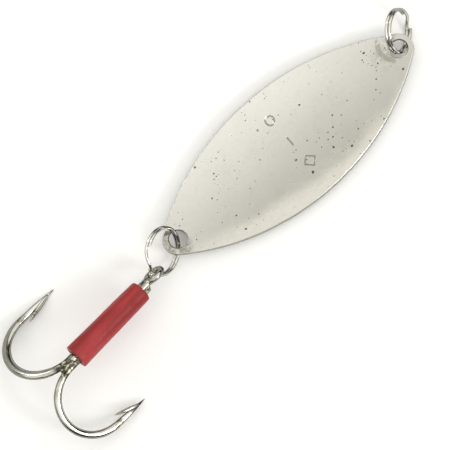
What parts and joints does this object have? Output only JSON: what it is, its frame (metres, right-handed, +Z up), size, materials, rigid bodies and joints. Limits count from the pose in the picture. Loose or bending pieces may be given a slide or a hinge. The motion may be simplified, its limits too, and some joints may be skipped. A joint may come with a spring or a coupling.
{
  "type": "fishing spoon lure",
  "caption": "Dished leaf-shaped metal lure blade with a split ring through each tip, and a brazed barbed hook with a red shank sleeve hanging from one ring.",
  "frame": {"origin": "on the floor under the middle of the whole lure, as it lies on its belly with the dished face up", "axes": "+X along the blade to the line end, +Y across the blade to the left of that, +Z up out of the dished face"},
  "size_m": [0.1147, 0.0356, 0.0132],
  "materials": {
    "blade_nickel": "worn nickel plate with fine pits and scuffs",
    "ring_steel": "dull nickel-plated spring wire",
    "hook_steel": "dark tinned wire with bright worn edges",
    "braze_metal": "dull mottled braze",
    "red_plastic": "soft semi-gloss red plastic"
  },
  "bodies": {
    "blade": {"blade": "blade_nickel"},
    "line_ring": {"line_split_ring": "ring_steel"},
    "hook_ring": {"hook_split_ring": "ring_steel"},
    "hook": {"hook_main_wire": "hook_steel", "hook_side_wire": "hook_steel", "hook_braze": "braze_metal"},
    "sleeve": {"shank_sleeve": "red_plastic"}
  },
  "joints": [
    {"name": "line_ring_swing", "type": "hinge", "parent": "blade", "child": "line_ring", "pos_m": [0.051, 0.0046, 0.00246], "axis": [-0.1541, 0, 0.9881], "range_deg": [-100, 60]},
    {"name": "hook_ring_swing", "type": "hinge", "parent": "blade", "child": "hook_ring", "pos_m": [-0.01225, 0.0046, 0.00243], "axis": [0.1534, 0, 0.9882], "range_deg": [-70, 65]},
    {"name": "hook_swing", "type": "hinge", "parent": "hook_ring", "child": "hook", "pos_m": [-0.0208, 0.00166, 0.0063], "axis": [0.2345, -0.4707, -0.8506], "range_deg": [-110, 70]},
    {"name": "sleeve_slide", "type": "slide", "parent": "hook", "child": "sleeve", "axis": [-0.9756, -0.1138, 0.1878], "range_m": [-0.0012, 0.0018]}
  ]
}
